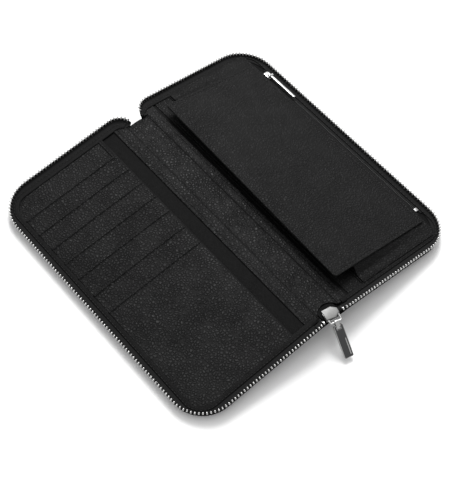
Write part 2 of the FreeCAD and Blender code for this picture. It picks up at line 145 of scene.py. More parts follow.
def across(side, a, v, w):
    """A flat point to the frame, in metres. side is 1 for the zip-pocket half, -1 for the card half."""
    radius = (BEND_TO - BEND_FROM) / SLOPE
    turned = SLOPE * min(1.0, max(0.0, (a - BEND_FROM) / (BEND_TO - BEND_FROM)))
    x = min(a, BEND_FROM) + radius * sin(turned)
    z = radius * (cos(turned) - 1)
    if a > BEND_TO:
        x += (a - BEND_TO) * cos(SLOPE)
        z -= (a - BEND_TO) * sin(SLOPE)
    x += w * sin(turned)
    z += w * cos(turned)
    return Vector((side * x, v, CREASE_Z + z)) * MM


def back(a, v, w):
    return across(1, a, v, w)


def front(a, v, w):
    return across(-1, a, v, w)


def lifted(a, v, w):
    """A point of the zip pocket, which slopes up from its hinge line toward the spine.

    Its soft spine-side edge runs a little closer to the spine at the slider end.
    """
    du = a - CREASE_X - POCKET_HINGE_U
    du *= 1 + POCKET_SKEW * (POCKET_V - v) / (2 * POCKET_V)
    dw = w - POCKET_HINGE_W
    u = POCKET_HINGE_U + du * cos(POCKET_LIFT) + dw * sin(POCKET_LIFT)
    up = POCKET_HINGE_W - du * sin(POCKET_LIFT) + dw * cos(POCKET_LIFT)
    return back(CREASE_X + u, v, up)


def slider_place(x, y, z):
    """A point in the main slider's own coordinates, to the frame."""
    centre_x, centre_y, lean = SLIDER
    turned = Matrix.Rotation(lean, 3, "Z") @ Vector((x, y, z))
    return (turned + Vector((centre_x, centre_y, CREASE_Z))) * MM


def pull_place(x, y, z):
    """A point of the pull, made level along -y from the bridge's bar, lowered to where it lies."""
    lowered = Matrix.Rotation(PULL_DROOP, 3, "X") @ Vector((x, y, z))
    return slider_place(lowered.x, lowered.y - BRIDGE_REACH, lowered.z + BRIDGE_W)


def local_frame(place, a, v, w, out, raised=0.0):
    """Matrix of a small part at a flat point: x outward and raised by an angle, z up, in millimetres."""
    here = place(a, v, w)
    x = (place(a + cos(out), v + sin(out), w) - here).normalized()
    up = (place(a, v, w + 1) - here).normalized()
    if raised:
        x, up = x * cos(raised) + up * sin(raised), up * cos(raised) - x * sin(raised)
    y = up.cross(x).normalized()
    up = x.cross(y)
    turn = Matrix((x, y, up)).transposed().to_4x4()
    return Matrix.Translation(here) @ turn @ Matrix.Scale(MM, 4)


def ripple(a, v, size, reach):
    """Gentle unevenness of a sheet, reach mm across and size mm high."""
    return size * noise.noise(Vector((a / reach, v / reach, reach)))


def groove(distance, depth, half):
    """Depth of a V-shaped groove at a distance from its line."""
    return depth * max(0.0, 1 - abs(distance) / half)


# ---------------------------------------------------------------- mesh helpers

def make_object(name, bm, material, sharp=35.0):
    bmesh.ops.recalc_face_normals(bm, faces=bm.faces)
    mesh = bpy.data.meshes.new(name)
    bm.to_mesh(mesh)
    bm.free()
    for polygon in mesh.polygons:
        polygon.use_smooth = True
    mesh.set_sharp_from_angle(angle=radians(sharp))
    mesh.materials.append(material)
    obj = bpy.data.objects.new(name, mesh)
    bpy.context.collection.objects.link(obj)
    return obj


def attach(obj, bodies, replaced=()):
    """Puts a piece on a named body. Given two bodies and a side, it only bakes the piece's placement into its
    mesh.
    """
    if isinstance(bodies, str):
        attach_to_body(obj, bodies)
    elif len(bodies) == 3:
        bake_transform(obj)
    if replaced:
        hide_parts(*replaced)
    return obj


def grid_lines(start, end, step, marks=()):
    """Grid lines from start to end, closer together beside both ends and beside each mark."""
    wanted = []
    for centre in (start, end) + tuple(marks):
        for beside in (0, 0.12, 0.3, 0.6, 1.0, 1.6):
            for spot in (centre - beside, centre + beside):
                if start <= spot <= end and all(abs(spot - w) > 0.05 for w in wanted):
                    wanted.append(spot)
    count = max(1, round((end - start) / step))
    for n in range(1, count):
        spot = start + (end - start) * n / count
        if all(abs(spot - w) > 0.4 * step for w in wanted):
            wanted.append(spot)
    return sorted(wanted)


def slab(name, lines_a, lines_v, top, thickness, place, material, low=None, high=None, roll=0.35,
         open_start=False):
    """A closed sheet. top gives its upper face's height, and roll rounds its upper edges.

    low and high give its ends along v for each a. open_start leaves the first edge unrolled,
    where it meets the sheet of the other half.
    """
    first_v, last_v = lines_v[0], lines_v[-1]
    bm = bmesh.new()
    upper, lower = [], []
    for a in lines_a:
        lo = low(a) if low else first_v
        hi = high(a) if high else last_v
        row_up, row_down = [], []
        for line in lines_v:
            v = lo + (line - first_v) * (hi - lo) / (last_v - first_v)
            inside = min(lines_a[-1] - a, v - lo, hi - v)
            if not open_start:
                inside = min(inside, a - lines_a[0])
            fall = 0.0
            if inside < roll:
                fall = roll - sqrt(max(0.0, roll ** 2 - (roll - inside) ** 2))
            w = top(a, v)
            row_up.append(bm.verts.new(place(a, v, w - fall)))
            row_down.append(bm.verts.new(place(a, v, w - thickness)))
        upper.append(row_up)
        lower.append(row_down)
    columns = len(lines_v)
    rows = len(lines_a)
    for i in range(rows - 1):
        for j in range(columns - 1):
            bm.faces.new((upper[i][j], upper[i + 1][j], upper[i + 1][j + 1], upper[i][j + 1]))
            bm.faces.new((lower[i][j], lower[i][j + 1], lower[i + 1][j + 1], lower[i + 1][j]))
        for j in (0, columns - 1):
            bm.faces.new((upper[i][j], upper[i + 1][j], lower[i + 1][j], lower[i][j]))
    for j in range(columns - 1):
        for i in (0, rows - 1):
            bm.faces.new((upper[i][j], upper[i][j + 1], lower[i][j + 1], lower[i][j]))
    return make_object(name, bm, material)


def trace(a, v, heading, moves, step=2.5):
    """Walks a path of (length, turn) moves and gives (a, v, outward) along it, outward to the right."""
    path = []
    for length, turn in moves:
        count = max(1, round(length / step), round(abs(turn) / radians(7.5)))
        for _ in range(count):
            path.append((a, v, heading - QUARTER))
            part = turn / count
            chord = length / count
            if part:
                chord = 2 * (chord / part) * sin(part / 2)
            a += chord * cos(heading + part / 2)
            v += chord * sin(heading + part / 2)
            heading += part
    path.append((a, v, heading - QUARTER))
    return path


def rim(outline, start_a, moves_after=()):
    """Edge of a half: from start_a at the slider end, round the outer corners, to the notch."""
    reach, half, corner = outline
    bend = (corner * QUARTER, QUARTER)
    far = CREASE_X + reach - corner
    moves = [(far - start_a, 0), bend, (2 * (half - corner), 0), bend,
             (far - NOTCH_A - NOTCH_R, 0), (NOTCH_R * QUARTER, QUARTER)]
    return trace(start_a, -half, 0.0, moves + list(moves_after))


def inset(path, by):
    return [(a - by * cos(out), v - by * sin(out), out) for a, v, out in path]


def spaced(path, pitch, phase=0.5):
    """Points at an even pitch along a path."""
    found = []
    wait = pitch * phase
    for (a0, v0, out0), (a1, v1, out1) in zip(path, path[1:]):
        length = hypot(a1 - a0, v1 - v0)
        while length > 0 and wait <= length:
            t = wait / length
            found.append((a0 + t * (a1 - a0), v0 + t * (v1 - v0), out0 + t * (out1 - out0)))
            wait += pitch
        wait -= length
    return found


def join_rings(bm, rings):
    """A closed skin over rings of equally many vertices, with a cap at each end."""
    count = len(rings[0])
    for here, there in zip(rings, rings[1:]):
        for n in range(count):
            m = (n + 1) % count
            bm.faces.new((here[n], there[n], there[m], here[m]))
    bm.faces.new(rings[0])
    bm.faces.new(rings[-1])


def sweep(name, profile, stations, place, material, lift=None, sharp=35.0):
    """A closed band: profile is a loop of (outward, w), carried along the stations."""
    bm = bmesh.new()
    rings = []
    for a, v, out in stations:
        ring = []
        for offset, w in profile:
            at_a = a + offset * cos(out)
            at_v = v + offset * sin(out)
            ring.append(bm.verts.new(place(at_a, at_v, lift(at_a, w) if lift else w)))
        rings.append(ring)
    join_rings(bm, rings)
    return make_object(name, bm, material, sharp)


def lathe_bar(sections, sides=8):
    """A template bar along x: each section is (x, half width, half height). Rounded across."""
    points, faces = [], []
    for x, wide, high in sections:
        for n in range(sides):
            turn = 2 * pi * (n + 0.5) / sides
            y = wide * (1 if cos(turn) > 0 else -1) * abs(cos(turn)) ** 0.5
            z = high * (1 if sin(turn) > 0 else -1) * abs(sin(turn)) ** 0.5
            points.append(Vector((x, y, z)))
    for k in range(len(sections) - 1):
        for n in range(sides):
            m = (n + 1) % sides
            faces.append((k * sides + n, k * sides + m, (k + 1) * sides + m, (k + 1) * sides + n))
    faces.append(tuple(range(sides)))
    faces.append(tuple((len(sections) - 1) * sides + n for n in range(sides)))
    return points, faces


def stamp(name, template, places, material, sharp=35.0):
    """Copies of a template, one for each matrix, as one mesh."""
    points, faces = template
    bm = bmesh.new()
    for matrix in places:
        made = [bm.verts.new(matrix @ point) for point in points]
        for face in faces:
            bm.faces.new([made[n] for n in face])
    return make_object(name, bm, material, sharp)


def stitches(name, paths, height, place, bodies):
    """Thread along paths of (a, v, outward). height gives the leather's height there."""
    places = []
    for path in paths:
        for a, v, out in spaced(path, STITCH_PITCH):
            places.append(local_frame(place, a, v, height(a, v) + 0.06, out + QUARTER))
    obj = stamp(name, STITCH, places, THREAD, sharp=80.0)
    return attach(obj, bodies)


def straight(a0, v0, a1, v1):
    out = atan2(v1 - v0, a1 - a0) - QUARTER
    return [(a0, v0, out), (a1, v1, out)]


def prism(name, outline, z0, z1, place, material, bevel=0.3, segments=2, crown=0.0):
    """An extruded outline with rounded edges. crown raises the middle of the top a little."""
    bm = bmesh.new()
    base = bm.faces.new([bm.verts.new(Vector((x, y, z0))) for x, y in outline])
    made = bmesh.ops.extrude_face_region(bm, geom=[base])
    tops = [e for e in made["geom"] if isinstance(e, bmesh.types.BMVert)]
    bmesh.ops.translate(bm, verts=tops, vec=Vector((0, 0, z1 - z0)))
    bmesh.ops.recalc_face_normals(bm, faces=bm.faces)
    if bevel:
        bmesh.ops.bevel(bm, geom=list(bm.edges), offset=bevel, segments=segments, profile=0.6,
                        affect="EDGES", clamp_overlap=True)
    if crown:
        lids = [f for f in bm.faces if f.normal.z > 0.99 and f.calc_area() > 4]
        bmesh.ops.inset_region(bm, faces=lids, thickness=0.9, depth=0.0)
        for f in lids:
            for vert in f.verts:
                vert.co.z += crown
    for vert in bm.verts:
        vert.co = place(*vert.co)
    return make_object(name, bm, material)


def rounded_outline(x0, x1, y0, y1, r, steps=5):
    """Corners of a rounded rectangle, anticlockwise."""
    points = []
    corners = ((x1 - r, y0 + r, -1), (x1 - r, y1 - r, 0), (x0 + r, y1 - r, 1), (x0 + r, y0 + r, 2))
    for cx, cy, start in corners:
        for n in range(steps + 1):
            turn = (start + n / steps) * QUARTER
            points.append((cx + r * cos(turn), cy + r * sin(turn)))
    return points


def wire(name, points, radius, place, material, sides=12):
    """A round wire through points, with its corners rounded."""
    rounding = 1.1
    steps = 6
    path = [Vector(points[0])]
    for before, here, after in zip(points, points[1:], points[2:]):
        before, here, after = Vector(before), Vector(here), Vector(after)
        into = here + (before - here).normalized() * rounding
        away = here + (after - here).normalized() * rounding
        for n in range(steps + 1):
            t = n / steps
            path.append(into * (1 - t) ** 2 + here * 2 * t * (1 - t) + away * t ** 2)
    path.append(Vector(points[-1]))
    bm = bmesh.new()
    rings = []
    for n, point in enumerate(path):
        ahead = (path[min(n + 1, len(path) - 1)] - path[max(n - 1, 0)]).normalized()
        beside = ahead.cross(Vector((0, 0, 1))).normalized()
        above = beside.cross(ahead)
        ring = []
        for k in range(sides):
            turn = 2 * pi * k / sides
            ring.append(bm.verts.new(place(*(point + radius * (cos(turn) * beside + sin(turn) * above)))))
        rings.append(ring)
    join_rings(bm, rings)
    return make_object(name, bm, material)


# ---------------------------------------------------------------- materials

def new_material(name, colour, roughness, metallic=0.0):
    material = bpy.data.materials.new(name)
    material.use_nodes = True
    tree = material.node_tree
    shader = tree.nodes["Principled BSDF"]
    shader.inputs["Base Color"].default_value = (*colour, 1)
    shader.inputs["Roughness"].default_value = roughness
    shader.inputs["Metallic"].default_value = metallic
    return material, tree, shader


def add_node(tree, kind, **settings):
    node = tree.nodes.new(kind)
    for key, value in settings.items():
        if key in node.inputs:
            node.inputs[key].default_value = value
        else:
            setattr(node, key, value)
    return node


def map_range(tree, source, low, high, to_low, to_high):
    node = add_node(tree, "ShaderNodeMapRange", interpolation_type="SMOOTHSTEP")
    tree.links.new(source, node.inputs["Value"])
    node.inputs["From Min"].default_value = low
    node.inputs["From Max"].default_value = high
    node.inputs["To Min"].default_value = to_low
    node.inputs["To Max"].default_value = to_high
    return node.outputs["Result"]


def tinted(tree, factor, dark, light):
    """A colour between two, for the base colour."""
    mix = add_node(tree, "ShaderNodeMix", data_type="RGBA")
    tree.links.new(factor, mix.inputs["Factor"])
    colour_a, colour_b = mix.inputs[6], mix.inputs[7]
    colour_a.default_value = (*dark, 1)
    colour_b.default_value = (*light, 1)
    return mix.outputs[2]


def leather(name, grain, depth, dark, light, roughness, specular=0.5):
    """Pebbled leather. grain is the size of a pebble and depth its height, both in mm."""
    material, tree, shader = new_material(name, light, roughness)
    links = tree.links
    shader.inputs["Specular IOR Level"].default_value = specular
    coordinates = add_node(tree, "ShaderNodeTexCoord").outputs["Object"]
    warp = add_node(tree, "ShaderNodeTexNoise", Scale=450.0 / grain, Detail=2.0)
    links.new(coordinates, warp.inputs["Vector"])
    shift = add_node(tree, "ShaderNodeVectorMath", operation="SCALE")
    shift.inputs["Scale"].default_value = 0.7 * grain * MM
    links.new(warp.outputs["Color"], shift.inputs[0])
    moved = add_node(tree, "ShaderNodeVectorMath", operation="ADD")
    links.new(coordinates, moved.inputs[0])
    links.new(shift.outputs["Vector"], moved.inputs[1])
    cells = add_node(tree, "ShaderNodeTexVoronoi", feature="DISTANCE_TO_EDGE", Scale=1000.0 / grain)
    links.new(moved.outputs["Vector"], cells.inputs["Vector"])
    pebble = map_range(tree, cells.outputs["Distance"], 0.0, 0.32, 0.0, 1.0)
    fine = add_node(tree, "ShaderNodeTexNoise", Scale=3200.0 / grain, Detail=3.0)
    links.new(coordinates, fine.inputs["Vector"])
    broad = add_node(tree, "ShaderNodeTexNoise", Scale=95.0 / grain, Detail=3.0)
    links.new(coordinates, broad.inputs["Vector"])
    patch = map_range(tree, broad.outputs["Fac"], 0.35, 0.7, 0.6, 1.15)
    domed = add_node(tree, "ShaderNodeMath", operation="MULTIPLY")
    links.new(pebble, domed.inputs[0])
    links.new(patch, domed.inputs[1])
    height = add_node(tree, "ShaderNodeMath", operation="MULTIPLY_ADD")
    height.inputs[1].default_value = 0.22
    links.new(fine.outputs["Fac"], height.inputs[0])
    links.new(domed.outputs["Value"], height.inputs[2])
    bump = add_node(tree, "ShaderNodeBump", Strength=1.0, Distance=depth * MM)
    links.new(height.outputs["Value"], bump.inputs["Height"])
    links.new(bump.outputs["Normal"], shader.inputs["Normal"])
    # The base colour is darker toward each pebble's edge and lighter on its top: painted shade in the grain's
    # crevices.
    links.new(tinted(tree, pebble, dark, light), shader.inputs["Base Color"])
    links.new(map_range(tree, pebble, 0.0, 1.0, roughness + 0.16, roughness), shader.inputs["Roughness"])
    return material


def woven(name, pitch, dark, light, roughness=0.8):
    """A close plain weave, pitch mm from thread to thread."""
    material, tree, shader = new_material(name, light, roughness)
    links = tree.links
    shader.inputs["Specular IOR Level"].default_value = 0.25
    coordinates = add_node(tree, "ShaderNodeTexCoord").outputs["Object"]
    waves = []
    for direction in ("X", "Y"):
        wave = add_node(tree, "ShaderNodeTexWave", bands_direction=direction, Scale=314.0 / pitch,
                        Distortion=0.4)
        links.new(coordinates, wave.inputs["Vector"])
        waves.append(wave.outputs["Fac"])
    cross = add_node(tree, "ShaderNodeMath", operation="MULTIPLY")
    links.new(waves[0], cross.inputs[0])
    links.new(waves[1], cross.inputs[1])
    bump = add_node(tree, "ShaderNodeBump", Strength=0.8, Distance=0.12 * MM)
    links.new(cross.outputs["Value"], bump.inputs["Height"])
    links.new(bump.outputs["Normal"], shader.inputs["Normal"])
    links.new(tinted(tree, cross.outputs["Value"], dark, light), shader.inputs["Base Color"])
    return material


def worn(name, dark, light, roughness, metallic, size=9.0, spread=0.1, specular=0.5):
    """A smooth surface with faint handling marks: its colour and gloss vary over size mm."""
    material, tree, shader = new_material(name, light, roughness, metallic)
    links = tree.links
    shader.inputs["Specular IOR Level"].default_value = specular
    coordinates = add_node(tree, "ShaderNodeTexCoord").outputs["Object"]
    marks = add_node(tree, "ShaderNodeTexNoise", Scale=1000.0 / size, Detail=5.0, Roughness=0.65)
    links.new(coordinates, marks.inputs["Vector"])
    links.new(tinted(tree, marks.outputs["Fac"], dark, light), shader.inputs["Base Color"])
    links.new(map_range(tree, marks.outputs["Fac"], 0.3, 0.7, roughness, roughness + spread),
              shader.inputs["Roughness"])
    grit = add_node(tree, "ShaderNodeTexNoise", Scale=6000.0 / size, Detail=2.0)
    links.new(coordinates, grit.inputs["Vector"])
    bump = add_node(tree, "ShaderNodeBump", Strength=0.15, Distance=0.03 * MM)
    links.new(grit.outputs["Fac"], bump.inputs["Height"])
    links.new(bump.outputs["Normal"], shader.inputs["Normal"])
    return material


BLACK = (0.001, 0.001, 0.001)
COVER_LEATHER = leather("cover_leather", 2.2, 0.36, BLACK, (0.005, 0.005, 0.0052), 0.42, 0.14)
INNER_LEATHER = leather("inner_leather", 2.2, 0.36, BLACK, (0.005, 0.005, 0.0052), 0.42, 0.14)
PANEL_LEATHER = leather("panel_leather", 2.1, 0.34, BLACK, (0.005, 0.005, 0.0052), 0.44, 0.12)
EDGE_LEATHER = leather("edge_leather", 0.9, 0.10, BLACK, (0.003, 0.003, 0.0031), 0.5, 0.11)
LINING_LEATHER = leather("lining_leather", 0.8, 0.06, BLACK, (0.002, 0.002, 0.0021), 0.6, 0.1)
TAPE = woven("zip_tape", 0.55, BLACK, (0.005, 0.005, 0.0055))
THREAD = woven("thread", 0.35, (0.006, 0.006, 0.006), (0.02, 0.02, 0.02), 0.55)
FOAM = woven("padding", 1.2, (0.02, 0.02, 0.02), (0.06, 0.06, 0.06))
BOARD = worn("board", (0.12, 0.10, 0.08), (0.2, 0.17, 0.14), 0.9, 0.0, size=4.0)
NICKEL = worn("polished_nickel", (0.42, 0.42, 0.42), (0.47, 0.47, 0.465), 0.3, 1.0)
# The crown's nickel is a darker copy of polished_nickel: painted shade that tones down the key light's
# reflection in the flat crown.
CROWN_NICKEL_PAINTED_SHADE = worn("crown_nickel_painted_shade", (0.12, 0.12, 0.12), (0.135, 0.135, 0.133), 0.42, 1.0)
TEETH_NICKEL = worn("teeth_nickel", (0.5, 0.5, 0.5), (0.62, 0.62, 0.61), 0.22, 1.0, size=3.0)
ENAMEL = worn("dark_enamel", (0.02, 0.02, 0.021), (0.03, 0.03, 0.031), 0.38, 0.0)
COIL_NYLON = worn("coil_nylon", (0.005, 0.005, 0.005), (0.012, 0.012, 0.012), 0.4, 0.0, size=2.0)

STITCH = lathe_bar(((-1.05, 0.05, 0.03), (-0.85, 0.2, 0.14), (0, 0.25, 0.2), (0.85, 0.2, 0.14),
                    (1.05, 0.05, 0.03)), 6)
TOOTH = lathe_bar(((-1.9, 0.5, 0.7), (-1.6, 0.68, 0.95), (0.3, 0.74, 1.05), (0.9, 0.6, 0.9),
                   (1.25, 0.42, 0.7), (1.4, 0.25, 0.45)), 8)


# ---------------------------------------------------------------- the halves

def corner_v(a, outline, by=0.0):
    """How far an outline, moved in by some mm, reaches along v at a."""
    reach, half, corner = outline
    r = corner - by
    beyond = a - (CREASE_X + reach - corner)
    if beyond <= 0:
        return half - by
    return half - corner + sqrt(max(0.0, r * r - min(beyond, r) ** 2))


def notch_v(a, top, by=0.0):
    """The same beside the notch, for a sheet that ends at top."""
    r = NOTCH_R - by
    beyond = NOTCH_A + NOTCH_R - a
    if beyond <= 0:
        return top
    if beyond >= r:
        return SPINE_TOP - by
    return max(SPINE_TOP - by, top - r + sqrt(r * r - beyond ** 2))


def cover(side, name, place, body, replaced):
    """Outer leather of a half and of its side of the spine, and the edge it is turned over."""
    bodies = ("spine", body, side)
    by = COVER_TURN
    lines_a = grid_lines(0, CREASE_X + COVER[0] - by, 3.0, (NOTCH_A,))

    def low(a):
        return -corner_v(a, COVER, by)

    def high(a):
        return min(corner_v(a, COVER, by), notch_v(a, COVER[1] - by, by))

    def outer(a, v):
        return OUTSIDE + ripple(a, v, 0.12, 30)

    def under(a, v, w):
        return place(a, v, -w)
    lines_v = grid_lines(-COVER[1] + by, COVER[1] - by, 3.5)
    sheet = slab("cover_" + name, lines_a, lines_v, outer, COVER_T, under, COVER_LEATHER, low, high, 0.3,
                 open_start=True)
    attach(sheet, bodies, replaced)

    after = ((COVER[1] - NOTCH_R - SPINE_TOP - NOTCH_FILLET, 0), (NOTCH_FILLET * QUARTER, -QUARTER),
             (NOTCH_A - NOTCH_FILLET, 0))
    edge = rim(COVER, 0.0, after)
    profile = ((-6.0, -3.05), (-2.4, -3.1), (-1.1, -2.85), (-0.3, -2.2), (0, -1.3), (-0.05, -0.5),
               (-0.5, 0.3), (-1.4, 0.9), (-2.6, 1.15), (-6.0, 1.2), (-6.0, -1.0))

    def lift(a, w):
        """The edge is thin along the spine's ends and full height along the half."""
        thin = min(w, -1.75)
        return thin + (w - thin) * smooth(a, 9.0, 13.0)
    ring = sweep("cover_edge_" + name, profile, edge, place, EDGE_LEATHER, lift)
    attach(ring, bodies)
    stitches("cover_stitches_" + name, [inset(edge, COVER_SEAM)], lambda a, v: OUTSIDE + 0.05, under,
             bodies)


def spine_leather(side, name, place, body, edge_u, replaced):
    """Inner leather of the spine, which overlaps the lining of a half as a sewn flap."""
    bodies = ("spine", body, side)
    end = CREASE_X + edge_u
    lines_a = grid_lines(0, end, 2.0, (NOTCH_A, end - STITCH_INSET))
    lines_v = grid_lines(SPINE_BOTTOM, PANEL_V, 3.0)

    def low(a):
        reach = CUT_R * CUT_R - a * a
        return max(-PANEL_V, SLIDER[1] + sqrt(reach)) if reach > 0 else -PANEL_V

    def top(a, v):
        flat = PANEL_TOP * smooth(a, 8.0, 12.5) + 0.45 * (1 - smooth(a, 0.0, 7.5))
        seam = groove(end - STITCH_INSET - a, 0.22, 0.9)
        hem = 0.18 * smooth(a, end - 1.8, end - 1.0)
        return flat + hem - seam + ripple(a, v, 0.18, 22)

    def high(a):
        return notch_v(a, PANEL_V)
    sheet = slab("spine_leather_" + name, lines_a, lines_v, top, SHEET, place, INNER_LEATHER, low, high,
                 0.35, open_start=True)
    attach(sheet, bodies, replaced)
    seam_a = end - STITCH_INSET
    lines = [straight(seam_a, -PANEL_V + 3, seam_a, PANEL_V - 3),
             straight(0.5, SPINE_TOP - 2.2, NOTCH_A - 0.5, SPINE_TOP - 2.2)]
    stitches("spine_stitches_" + name, lines, top, place, bodies)


def binding(name, place, body, wide, side_wide):
    """Turned edge strip sewn round a half's lining. side_wide is its width along the outer edge."""
    # The strip stops on the arc before the notch, five points from its end.
    edge = rim(LINING, CREASE_X + BINDING_START)[:-5]
    bm = bmesh.new()
    rings = []
    for a, v, out in edge:
        turned = smooth(abs(cos(out)), 0.15, 0.95)
        inner = wide + (side_wide - wide) * turned
        ring = []
        for offset, w in ((-inner, 1.55), (-inner, 2.2), (-inner + 0.35, 2.5), (-inner + 0.9, 2.6),
                          (-0.5 * inner, 2.5), (-1.2, 2.45), (-0.5, 2.1), (-0.3, 1.3), (-0.6, 1.05)):
            at_a = a + offset * cos(out)
            at_v = v + offset * sin(out)
            ring.append(bm.verts.new(place(at_a, at_v, w)))
        rings.append(ring)
    join_rings(bm, rings)
    obj = make_object("binding_" + name, bm, EDGE_LEATHER)
    attach(obj, body)
    # The seam stops short of the crease, where the slider's crown stands when the wallet is shut.
    seam = inset(rim(LINING, CREASE_X + BINDING_SEAM_START)[:-5], BINDING_SEAM)
    stitches("binding_stitches_" + name, [seam], lambda a, v: 2.42, place, body)


def main_zip(side, name, place, body, phase, heel_end):
    """Tape and teeth of a half, and the short run beside the slider, which bends at the crease."""
    start = CREASE_X + ZIP_START_U
    edge = rim(COVER, start)
    profile = ((-5.8, 1.0), (-1.6, 1.05), (-0.6, 1.6), (-0.25, 3.0), (-0.05, 4.3), (-0.5, 4.6),
               (-0.8, 3.1), (-1.5, 2.2), (-2.8, 1.75), (-5.8, 1.6))
    tape = sweep("zip_tape_" + name, profile, edge, place, TAPE, sharp=60.0)
    attach(tape, body, (name + "_zip_tape",))
    places = []
    for a, v, out in spaced(edge, TOOTH_PITCH, phase)[:-1]:
        places.append(local_frame(place, a, v, TEETH_W, out, TEETH_RAISED))
    row = stamp("zip_teeth_" + name, TOOTH, places, TEETH_NICKEL, sharp=50.0)
    attach(row, body, (name + "_zip_teeth",))

    # The last teeth lead down into the slider.
    def descent(a):
        return 1.75 * (1 - smooth(a, heel_end - 2, start))
    count = 12
    stations = []
    for n in range(count + 1):
        a = start + (heel_end - start) * n / count
        v = -COVER[1] + 1.6 * (1 - smooth(a, heel_end - 2, start))
        stations.append((a, v, OUT_DOWN))
    narrow = ((-3.6, 2.3), (-1.6, 2.3), (-0.6, 2.5), (-0.25, 3.2), (-0.05, 4.3), (-0.5, 4.6),
              (-0.8, 3.5), (-1.5, 3.0), (-3.6, 2.9))
    heel = sweep("zip_heel_" + name, narrow, stations, place, TAPE, lambda a, w: w - descent(a), 60.0)
    attach(heel, ("spine", body, side))
    places = []
    for a, v, out in spaced(stations, TOOTH_PITCH, 1 - phase):
        raised = TEETH_RAISED * smooth(a, heel_end - 3, start)
        places.append(local_frame(place, a, v, TEETH_W - descent(a), out, raised))
    row = stamp("zip_heel_teeth_" + name, TOOTH, places, TEETH_NICKEL, sharp=50.0)
    attach(row, ("spine", body, side))


def card_half():
    start = CREASE_X + CARD_EDGE_U
    end = CREASE_X + LINING[0] - INNER_SEAM
    inner = (LINING[0] - INNER_SEAM, PANEL_V, LINING[2] - INNER_SEAM)

    def panel_top(a, v):
        return PANEL_TOP + ripple(a, v, 0.35, 45)
    panel = slab("card_panel_leather", grid_lines(start, end, 3.0), grid_lines(-PANEL_V, PANEL_V, 3.0),
                 panel_top, SHEET, front, INNER_LEATHER, lambda a: -corner_v(a, inner),
                 lambda a: corner_v(a, inner), 0.35)
    attach(panel, "front_half", ("card_panel",))

    # Edge strip of the card panel, beside the long slip pocket.
    strip_end = start + 3.6

    def strip_top(a, v):
        return PANEL_TOP + 0.75 - groove(a - start - STITCH_INSET, 0.2, 0.8)
    strip = slab("card_panel_strip", grid_lines(start - 0.2, strip_end, 1.2),
                 grid_lines(-PANEL_V, PANEL_V, 4.0), strip_top, 1.4, front, EDGE_LEATHER, roll=0.5)
    attach(strip, "front_half")
    stitches("card_panel_stitches", [straight(start + STITCH_INSET, -PANEL_V + 2, start + STITCH_INSET,
                                              PANEL_V - 2)], strip_top, front, "front_half")

    ends = CARD_LIPS[1:] + (-PANEL_V + 2.2,)
    pocket_outer = CREASE_X + CARD_OUTER_U
    for number, (lip, foot) in enumerate(zip(CARD_LIPS, ends), start=1):
        last = number == len(CARD_LIPS)

        def top(a, v, lip=lip, foot=foot, last=last):
            along = (v - foot) / (lip - foot)
            if last:
                along = max(0.0, (v - lip + 34) / 34)
            full = smooth(a, start + 2.5, start + 9) * (1 - smooth(a, pocket_outer - 8, pocket_outer - 1.5))
            rise = (0.45 + 0.55 * full) * LIP_RISE * along
            hem = 0.3 * smooth(v, lip - LIP_HEM[0], lip - LIP_HEM[1])
            crease = groove(v - lip + LIP_FOLD, 0.35, 0.8)
            wave = ripple(a, v + 40 * lip, 0.3, 34) * full
            return PANEL_TOP + SHEET + 0.1 + rise + hem - crease + wave
        bottom_outline = (CARD_OUTER_U, PANEL_V - 2.2, LINING[2] - 5.0)

        def low(a, foot=foot, last=last):
            return -corner_v(a, bottom_outline) if last else foot - 1.0
        lines_v = grid_lines(foot - (0 if last else 1.0), lip, 2.6, (lip - 2.4,))
        pocket = slab("card_pocket_leather_%d" % number, grid_lines(start + 1.0, pocket_outer, 3.0), lines_v,
                      top, SHEET + 0.2, front, INNER_LEATHER, low, roll=0.4)
        attach(pocket, "front_half", ("card_pocket_%d" % number,))
    binding("front", front, "front_half", 5.2, 5.2)


def zip_pocket_half():
    heights = (PANEL_TOP, PANEL_TOP + SHEET)
    for number, (edge_u, height) in enumerate(zip(SLIP_EDGES_U, heights), start=1):
        first = CREASE_X + edge_u
        last = CREASE_X + SLIP_OUTER_U

        def top(a, v, first=first, height=height):
            seam = groove(a - first - STITCH_INSET, 0.2, 0.8)
            mouth = 0.3 * (1 - smooth(a, first, first + 2.2)) * (1 - smooth(abs(v), 80, PANEL_V))
            return height + mouth - seam + ripple(a, v, 0.15, 40)
        sheet = slab("slip_pocket_leather_%d" % number, grid_lines(first, last, 4.0, (first + STITCH_INSET,)),
                     grid_lines(-PANEL_V, PANEL_V, 3.5), top, SHEET, back, PANEL_LEATHER, roll=0.35)
        attach(sheet, "back_half", ("slip_pocket_%d" % number,))
        stitches("slip_pocket_stitches_%d" % number,
                 [straight(first + STITCH_INSET, -PANEL_V + 2, first + STITCH_INSET, PANEL_V - 2)], top, back,
                 "back_half")
    binding("back", back, "back_half", 4.0, 1.6)
    zip_pocket()
    for name, end in (("top", 1), ("bottom", -1)):
        gusset(name, end)


